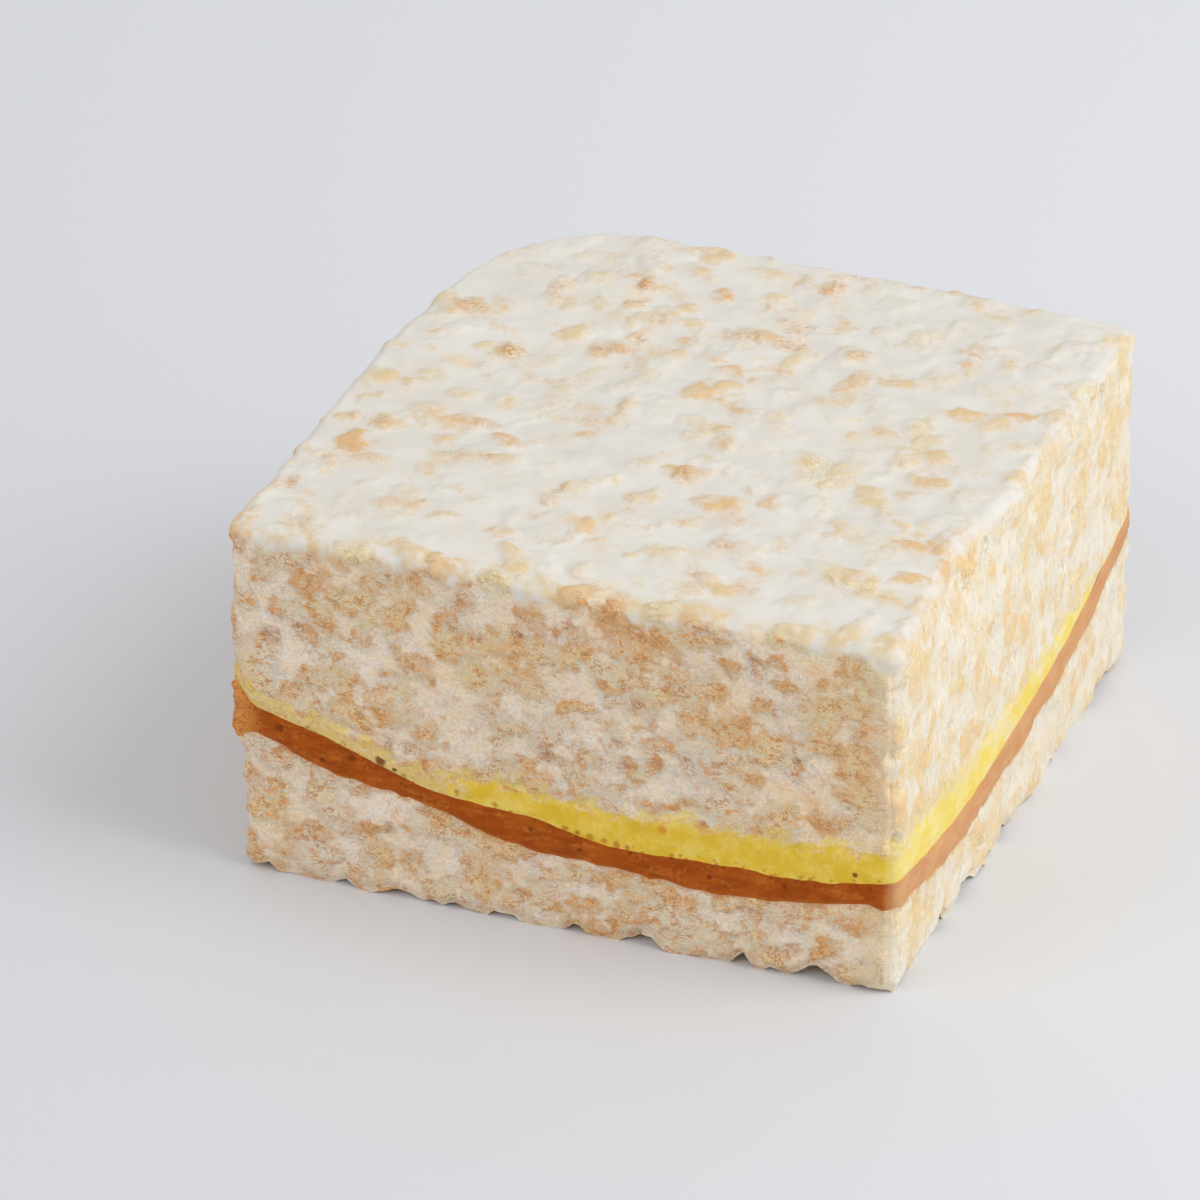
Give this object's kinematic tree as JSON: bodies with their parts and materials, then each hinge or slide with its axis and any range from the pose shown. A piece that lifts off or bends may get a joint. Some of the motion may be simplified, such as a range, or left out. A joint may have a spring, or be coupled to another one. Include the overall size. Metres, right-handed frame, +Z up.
{
  "type": "crispy rice treat",
  "caption": "Square-cut crispy rice and marshmallow treat with a dished caramel layer and a spongy yellow marshmallow layer between a thick and a thin rice layer.",
  "frame": {"origin": "middle of the footprint, on the surface the treat rests on", "axes": "+Z up through the layers, -Y out of the front cut face, +X out of the right cut face"},
  "size_m": [0.0782, 0.0809, 0.044],
  "materials": {
    "puffed_rice": "cream puffed rice in white marshmallow, matte and porous",
    "caramel": "soft caramel, satin",
    "yellow_marshmallow": "spongy yellow marshmallow, soft satin"
  },
  "bodies": {
    "root": {"rice_lower_layer": "puffed_rice", "caramel_layer": "caramel", "yellow_marshmallow_layer": "yellow_marshmallow", "rice_upper_layer": "puffed_rice"}
  },
  "joints": []
}
